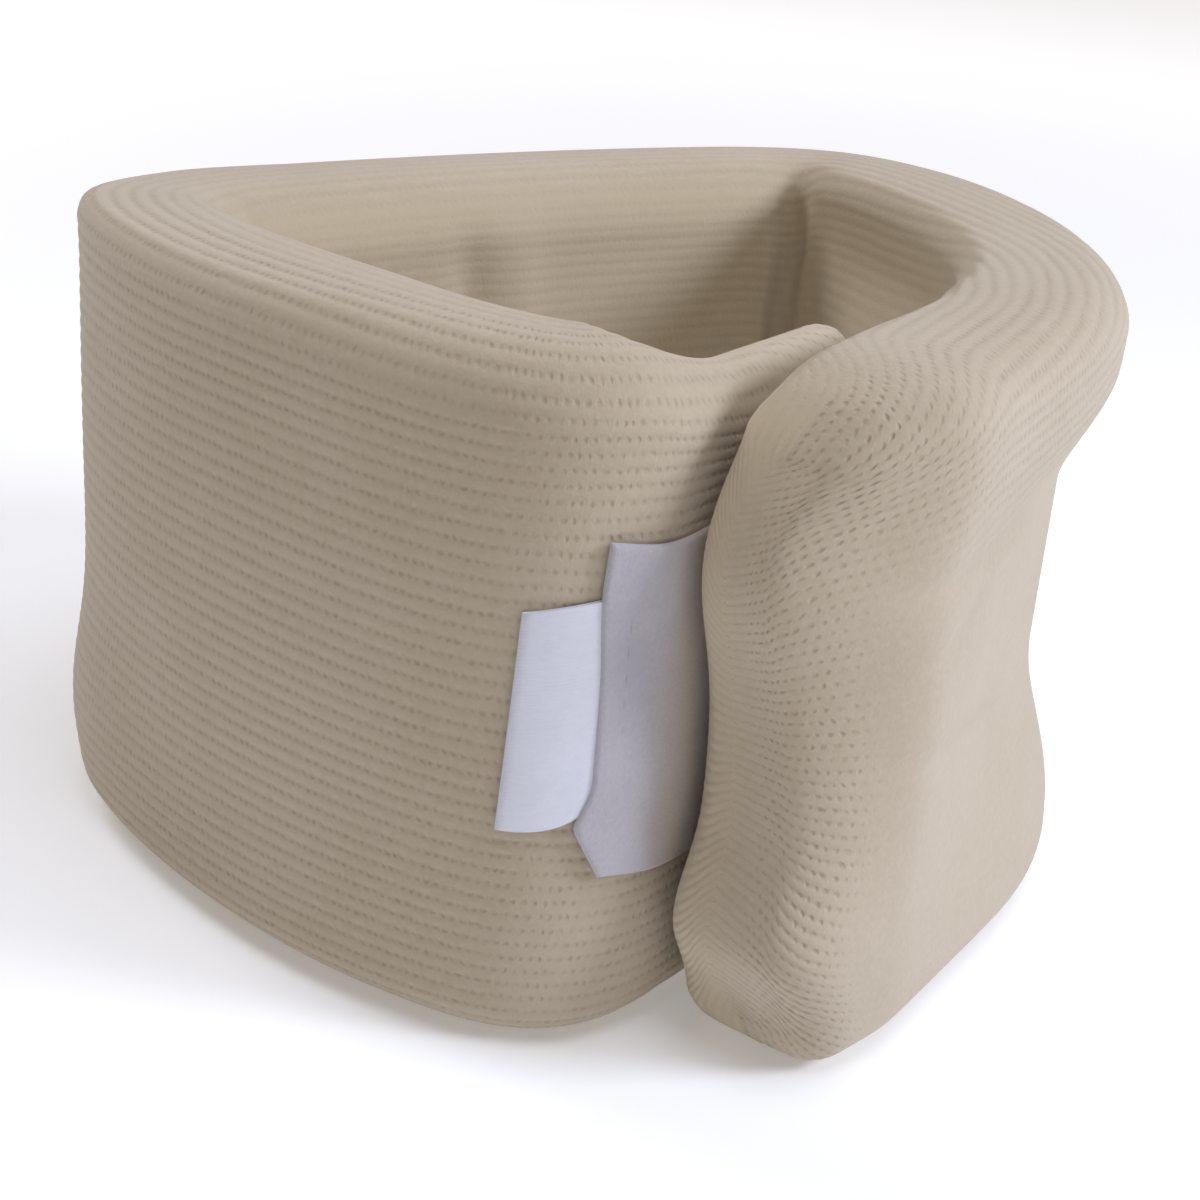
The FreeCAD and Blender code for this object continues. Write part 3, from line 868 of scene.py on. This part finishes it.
def knit_material():
    """Ribbed cotton stockinette: soft wales, and between them staggered small openings."""
    nodes = Nodes("cream_rib_knit")
    uv, courses, wales = nodes.uv("knit")
    open_look = nodes.attribute("open_look")
    proud = nodes.attribute("proud")
    place = nodes.add("ShaderNodeTexCoord").outputs["Object"]
    wale = nodes.math("ADD", wales, nodes.wander(uv, 0.8, 3.0, 0.3))
    gap = nodes.math("ROUND", wale)
    stagger = nodes.math("MULTIPLY", nodes.math("FLOORED_MODULO", gap, 2.0), 0.5)
    drifted = nodes.math("ADD", courses, nodes.wander(uv, 0.3, 3.0, 1.7))
    course = nodes.math("ADD", drifted, stagger)
    from_gap = nodes.math("ABSOLUTE", nodes.math("SUBTRACT", wale, gap))
    from_rung = nodes.math("ABSOLUTE", nodes.math("SUBTRACT", nodes.math("FRACT", course), 0.5))
    wobble = nodes.wander(uv, 2.3, 2.0, 0.7)
    oval = nodes.math(
        "SQRT",
        nodes.math(
            "ADD",
            nodes.math("POWER", nodes.math("DIVIDE", from_gap, OPENING_WALES), 2.0),
            nodes.math("POWER", nodes.math("DIVIDE", from_rung, OPENING_COURSES), 2.0),
        ),
    )
    hole = nodes.spread(nodes.math("ADD", oval, wobble), 0.1, 1.3, 1.0, 0.0)
    patchy = nodes.spread(nodes.noise(uv, 0.5, 3.0), 0.3, 0.65, 0.35, 1.0)
    hole = nodes.math("MULTIPLY", nodes.math("MULTIPLY", hole, patchy), open_look)
    groove = nodes.spread(from_gap, 0.0, 0.42, 1.0, 0.0)
    uneven = nodes.spread(nodes.noise(uv, 0.9, 3.0), 0.3, 0.7, 0.6, 1.0)
    groove = nodes.math("MULTIPLY", nodes.math("MULTIPLY", groove, uneven), proud)
    fuzz = nodes.noise(place, 2200.0, 4.0, 0.6)
    yarns = nodes.noise(uv, 4.0, 3.0, 0.6)
    high = nodes.math("SUBTRACT", nodes.math("MULTIPLY", fuzz, 0.35), hole)
    strands = nodes.math("MULTIPLY", yarns, nodes.math("MULTIPLY", proud, 0.6))
    high = nodes.math("ADD", high, strands)
    high = nodes.math("SUBTRACT", high, nodes.math("MULTIPLY", groove, 0.4))
    nodes.feed(nodes.shader.inputs["Normal"], nodes.bump(high, 0.2 * MM, 0.85))
    tone = nodes.spread(nodes.noise(place, 28.0, 3.0), 0.3, 0.7)
    yarn = nodes.mix(tone, colour(*YARN_DARK), colour(*YARN_LIGHT))
    speck = nodes.spread(nodes.noise(place, 1100.0, 3.0), 0.35, 0.75)
    yarn = nodes.mix(nodes.math("MULTIPLY", speck, 0.3), yarn, colour(*YARN_SPECK))
    yarn = nodes.mix(
        nodes.math("MULTIPLY", nodes.attribute("inside"), 0.6), yarn, colour(*YARN_INSIDE)
    )
    # painted shade: the openings and the grooves between the wales are darkened, by how open and
    # how proud the knit is
    deep = nodes.math(
        "ADD", nodes.math("MULTIPLY", hole, 0.36), nodes.math("MULTIPLY", groove, 0.17)
    )
    nodes.feed(nodes.shader.inputs["Base Color"], nodes.mix(deep, yarn, colour(*PAINTED_GAP_SHADE)))
    nodes.set_look(0.93, 0.25, 0.2, 0.6)
    return nodes.material


def plain_material(name, dark, light, grain, depth, roughness, sheen=0.0):
    """A fabric of two mixed tones with a fine grain. Grain is the noise's scale, and depth is
    how deep it looks."""
    nodes = Nodes(name)
    place = nodes.add("ShaderNodeTexCoord").outputs["Object"]
    fine = nodes.noise(place, grain, 4.0, 0.65)
    broad = nodes.noise(place, grain / 12, 3.0)
    both = nodes.math(
        "ADD", nodes.math("MULTIPLY", fine, 0.5), nodes.math("MULTIPLY", broad, 0.5)
    )
    share = nodes.spread(both, 0.35, 0.65)
    nodes.feed(nodes.shader.inputs["Base Color"], nodes.mix(share, colour(*dark), colour(*light)))
    nodes.feed(nodes.shader.inputs["Normal"], nodes.bump(fine, depth, 0.7))
    nodes.set_look(roughness, 0.3, sheen, 0.5)
    return nodes


def waves(nodes, value, pitch):
    """A sine along a value, one wave per pitch."""
    return nodes.math("SINE", nodes.math("MULTIPLY", value, 2 * math.pi / pitch))


def fleece_material():
    """Brushed loop tape: a fine nap, with a band of painted warm shade across the part beside the
    flap.
    """
    nodes = plain_material(
        "brushed_loop_tape", (0.44, 0.42, 0.455), (0.50, 0.48, 0.515), 1700.0, 0.22 * MM, 0.9, 0.4
    )
    _, across, _ = nodes.uv("tape")
    # painted shade: the tape is darkened and warmed in a band across it beside the flap
    warm = nodes.math(
        "MULTIPLY",
        nodes.spread(across, *PAINTED_SHADE_RISE, 0.0, 0.75),
        nodes.spread(across, *PAINTED_SHADE_FALL, 1.0, 0.1),
    )
    unshaded_nap = nodes.shader.inputs["Base Color"].links[0].from_socket
    nodes.feed(nodes.shader.inputs["Base Color"], nodes.mix(warm, unshaded_nap, colour(*PAINTED_SHADE_TONE)))
    return nodes.material


def satin_material():
    """Woven label: fine warp ribs."""
    nodes = plain_material(
        "white_satin_label", (0.70, 0.72, 0.80), (0.74, 0.76, 0.84), 600.0, 0.02 * MM, 0.42
    )
    _, _, upward = nodes.uv("tape")
    weave = waves(nodes, upward, WEAVE_PITCH)
    nodes.feed(nodes.shader.inputs["Normal"], nodes.bump(weave, 0.02 * MM, 0.6))
    return nodes.material


def hook_material():
    """Hook tape: rows of small stiff hooks, which show as a close grain."""
    nodes = plain_material(
        "white_hook_tape", (0.52, 0.52, 0.54), (0.62, 0.62, 0.64), 1200.0, 0.3 * MM, 0.6
    )
    _, across, upward = nodes.uv("tape")
    rows = nodes.spread(waves(nodes, across, HOOK_PITCH_ALONG), -0.2, 0.8)
    places = nodes.spread(waves(nodes, upward, HOOK_PITCH_UP), -0.2, 0.8)
    studs = nodes.math("MULTIPLY", rows, places)
    nodes.feed(nodes.shader.inputs["Normal"], nodes.bump(studs, 0.5 * MM, 0.9))
    return nodes.material


knit = knit_material()
fleece = fleece_material()
satin = satin_material()
hooks = hook_material()
foam = plain_material(
    "cream_foam", (0.56, 0.51, 0.39), (0.64, 0.60, 0.48), 900.0, 0.5 * MM, 0.95
).material
thread = plain_material(
    "white_thread", (0.43, 0.41, 0.445), (0.48, 0.46, 0.49), 1500.0, 0.008 * MM, 0.7
).material
yarn = plain_material(
    "cream_yarn", (0.46, 0.385, 0.275), (0.50, 0.42, 0.31), 1500.0, 0.008 * MM, 0.9
).material

# ---------------------------------------------------------------- covers and foam


def bend_at_hinge(piece, body, aim, reach):
    """Bakes the piece's transform into its mesh. The body and the reach are not used."""
    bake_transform(piece)


cover_right = make_cover("knit_cover_right", line.long_middle, 0.0, knit)
cover_left = make_cover("knit_cover_left", line.long_middle, line.length, knit)
foam_right = make_foam("foam_right", line.long_middle, 0.0, foam)
foam_left = make_foam("foam_left", line.long_middle, line.length, foam)
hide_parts("cover_flap", "cover_front")
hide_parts("cover_under")
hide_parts("foam_core_flap", "foam_core_front")
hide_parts("foam_core_under")
for piece in (cover_right, foam_right):
    bend_at_hinge(piece, "flap_end", *FLAP_BEND)
for piece in (cover_left, foam_left):
    bend_at_hinge(piece, "under_end", *UNDER_BEND)

# ---------------------------------------------------------------- tapes and label

LOOP_START = line.tongue_run - LOOP_TURN_RUN
LOOP_LONG = LOOP_TURN_RUN + LOOP_RUN


def flare(b):
    """How far the loop strip's free edge runs out near its cut lower corner."""
    out = 1.9 * MM * (1 - ramp(b, 0.14, 0.3))
    cut = 3.4 * MM * np.clip(1 - b / 0.16, 0, 1)
    bow = 0.6 * MM * hump(b, 0.83, 0.16)
    return cut - out - bow


def loop_shape(a, b):
    along = LOOP_START + a * LOOP_LONG + flare(b) * (1 - a) ** 2
    edge = 1 - ramp(a, 0, 0.3)
    height = STRIP_LOW + b * STRIP_TALL - 1.1 * MM * b * hump(a, 0.2, 0.16)
    height = height + 1.2 * MM * (1 - b) * edge
    fold = 0.14 * MM * hump(a, 0.075, 0.016) * ramp(b, 0.3, 0.5) * (1 - ramp(b, 0.75, 0.95))
    lift = 0.05 * MM + 0.22 * MM * edge * hump(b, 0.0, 0.2) - fold
    return along, height, lift + 0.12 * MM * np.sin(a * 9) * np.sin(b * 7)


def hook_shape(a, b):
    along = HOOK_START + a * HOOK_RUN
    return along, STRIP_LOW + b * STRIP_TALL, 0.02 * MM + 0 * a


def label_shape(a, b):
    """A folded tape: in under the loop strip, out to the fold, and back over itself."""
    inner_layer = np.clip(1 - a / 0.49, 0, 1)
    outer_layer = np.clip((a - 0.51) / 0.49, 0, 1)
    out = np.maximum(inner_layer, outer_layer)
    turn = np.clip((a - 0.49) / 0.02, 0, 1)
    gap = 0.10 * MM + 0.3 * MM * hump(b, 0.0, 0.25) * (1 - out)
    lift = 0.08 * MM + (LABEL_THICK + gap) * turn + 0.25 * MM * (1 - out) * (1 - b)
    along = LOOP_START - LABEL_WIDE + 1.4 * MM + out * LABEL_WIDE - 1.3 * MM * (1 - b)
    rise = 2.4 * MM * out * b + 3.2 * MM * out**3.2 * (1 - b)
    return along, LABEL_LOW - 1.9 * MM + b * LABEL_TALL + rise, lift


loop_strip = make_tape("loop_tape", loop_shape, (LOOP_LONG, STRIP_TALL), STRIP_THICK, fleece)
hook_strip = make_tape(
    "hook_tape", hook_shape, (HOOK_RUN, STRIP_TALL), STRIP_THICK, hooks, outer=False
)
label = make_tape("folded_label", label_shape, (2 * LABEL_WIDE, LABEL_TALL), LABEL_THICK, satin)

loop_thread = make_threads(
    "loop_tape_thread",
    stitch_box(
        LOOP_START + STITCH_INSET + 1.2 * MM,
        LOOP_START + LOOP_LONG - STITCH_INSET,
        STRIP_LOW + STITCH_INSET + 1.2 * MM,
        STRIP_LOW + STRIP_TALL - STITCH_INSET - 0.8 * MM,
        STRIP_THICK - 0.06 * MM,
    ),
    thread,
)
hook_thread = make_threads(
    "hook_tape_thread",
    stitch_box(
        HOOK_START + STITCH_INSET,
        HOOK_START + HOOK_RUN - STITCH_INSET,
        STRIP_LOW + STITCH_INSET,
        STRIP_LOW + STRIP_TALL - STITCH_INSET,
        STRIP_THICK + 0.06 * MM,
    ),
    thread,
    outer=False,
)
label_thread = make_threads(
    "label_thread",
    stitch_row(
        (LOOP_START + 0.9 * MM, LABEL_LOW + STITCH_INSET),
        (LOOP_START + 0.9 * MM, LABEL_LOW + LABEL_TALL - STITCH_INSET),
        STRIP_THICK - 0.03 * MM,
    ),
    thread,
)


def make_end_seam(name, end, side, material):
    """Small gathered stitches that close the end of the cover's tube."""
    thick = float(thickness(np.array([end]))[0])
    depth = thick * side
    count = int(SEAM_TALL / SEAM_PITCH)
    heights = (WALL_TALL - SEAM_TALL) / 2 + (np.arange(count) + 0.5) * SEAM_TALL / count
    outward_side = 1 if end > line.long_middle else -1
    _, heading = line.at(np.array([end]))
    over = np.append(forward(heading)[0] * outward_side, 0)
    vertices, faces = [], []
    share, bow = grain_bow()
    for k, height in enumerate(heights):
        lean = (k % 2 - 0.5) * 0.5 * MM
        spine = surface(
            np.full(GRAIN_LONG, end),
            depth + (share - 0.5) * 1.5 * MM,
            height + lean * (share - 0.5) * 2,
            np.full(GRAIN_LONG, thick),
        )
        spine = spine + over * (0.10 * MM * bow - 0.31 * MM)[:, None]
        add_grain(vertices, faces, spine, over, SEAM_THREAD_THICK)
    return new_object(name, vertices, faces, material)


seam_flap = make_end_seam("end_seam_thread_flap", 0.0, SEAM_DEPTH_FLAP, yarn)
seam_tongue = make_end_seam("end_seam_thread_tongue", line.length, SEAM_DEPTH_TONGUE, yarn)

for piece, body, slot, nodes in (
    (loop_strip, "under_end", "loop_tape", ["loop_strip"]),
    (hook_strip, "flap_end", "hook_tape", ["hook_strip"]),
    (label, "under_end", "label_tape", ["label"]),
    (loop_thread, "under_end", "thread", ["loop_strip_stitching"]),
    (hook_thread, "flap_end", "thread", ["hook_strip_stitching"]),
    (label_thread, "under_end", "thread", ["label_stitching"]),
    (seam_flap, "flap_end", "knit", ["end_seam_flap"]),
    (seam_tongue, "under_end", "knit", ["end_seam_tongue"]),
):
    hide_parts(*nodes)
    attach(piece, body)

# ---------------------------------------------------------------- stage, light, camera

FLOOR_HALF = 3.0
FLOOR_BELOW = 0.3 * MM
FLOOR_TONES = (0.87, 0.885, 0.91), (0.9, 0.91, 0.93)
GLOW_REACH = (0.3, 0.9)
GLOW_STRENGTH = (0.22, 0.62)
WORLD_TINT = (1.0, 0.80, 0.62)
WORLD_STRENGTH = 0.18
LIGHT_TARGET = (0, 0, 0.04)
LIGHTS = (
    # name, place, width, power, tint
    ("key", (0.78, -0.16, 0.51), 0.30, 4.75, (0.96, 1.03, 1.22)),
    ("top", (0.14, -0.20, 0.92), 0.6, 3.2, (0.98, 1.03, 1.18)),
    ("left", (-0.60, 0.38, 0.70), 0.4, 3.0, (0.99, 1.01, 1.08)),
)
CAMERA_TARGET = (1.5 * MM, -29.3 * MM, 45 * MM)
CAMERA_DISTANCE = 267.6 * MM
CAMERA_PITCH = math.radians(24.1)
CAMERA_ROLL = math.radians(5.0)
CAMERA_LENS = 60


def area_light(name, place, size, power, tint):
    light = bpy.data.lights.new(name, "AREA")
    light.shape = "DISK"
    light.size = size
    light.energy = power
    light.color = tint
    lamp = bpy.data.objects.new(name, light)
    lamp.location = place
    lamp.rotation_mode = "QUATERNION"
    aim = Vector(LIGHT_TARGET) - Vector(place)
    lamp.rotation_quaternion = aim.to_track_quat("-Z", "Y")
    bpy.context.scene.collection.objects.link(lamp)


def make_floor():
    """A wide pale floor. Its glow grows with the distance, so that it stays white behind the
    collar, where the lights don't reach."""
    nodes = Nodes("pale_floor")
    place = nodes.add("ShaderNodeTexCoord").outputs["Object"]
    soft = nodes.noise(place, 3.0, 2.0)
    dark, light = FLOOR_TONES
    nodes.feed(nodes.shader.inputs["Base Color"], nodes.mix(soft, colour(*dark), colour(*light)))
    nodes.shader.inputs["Roughness"].default_value = 0.9
    nodes.shader.inputs["Specular IOR Level"].default_value = 0.1
    nodes.shader.inputs["Emission Color"].default_value = (1, 1, 1, 1)
    away = nodes.add("ShaderNodeVectorMath", operation="LENGTH")
    nodes.feed(away.inputs[0], place)
    glow = nodes.spread(away.outputs["Value"], *GLOW_REACH, *GLOW_STRENGTH)
    nodes.feed(nodes.shader.inputs["Emission Strength"], glow)
    size = FLOOR_HALF
    corners = [(-size, -size, 0), (size, -size, 0), (size, size, 0), (-size, size, 0)]
    floor = new_object("floor", corners, [[0, 1, 2, 3]], nodes.material)
    floor.location.z = cad_low.z - FLOOR_BELOW


make_floor()
world = bpy.data.worlds.new("studio")
bpy.context.scene.world = world
world.use_nodes = True
background = world.node_tree.nodes["Background"]
background.inputs["Color"].default_value = colour(*WORLD_TINT)
background.inputs["Strength"].default_value = WORLD_STRENGTH
for light in LIGHTS:
    area_light(*light)

camera_data = bpy.data.cameras.new("camera")
camera = bpy.data.objects.new("camera", camera_data)
bpy.context.scene.collection.objects.link(camera)
bpy.context.scene.camera = camera
ahead = Vector((0, math.cos(CAMERA_PITCH), -math.sin(CAMERA_PITCH)))
right = Vector((1, 0, 0))
above = right.cross(ahead)
axis_x = right * math.cos(CAMERA_ROLL) + above * math.sin(CAMERA_ROLL)
axis_y = above * math.cos(CAMERA_ROLL) - right * math.sin(CAMERA_ROLL)
turned = Matrix((axis_x, axis_y, -ahead)).transposed().to_4x4()
moved = Matrix.Translation(Vector(CAMERA_TARGET) - ahead * CAMERA_DISTANCE)
camera.matrix_world = moved @ turned
camera_data.sensor_width = 36
camera_data.lens = CAMERA_LENS
camera_data.clip_start = 0.01
camera_data.clip_end = 20

bpy.context.scene.view_settings.view_transform = "Standard"
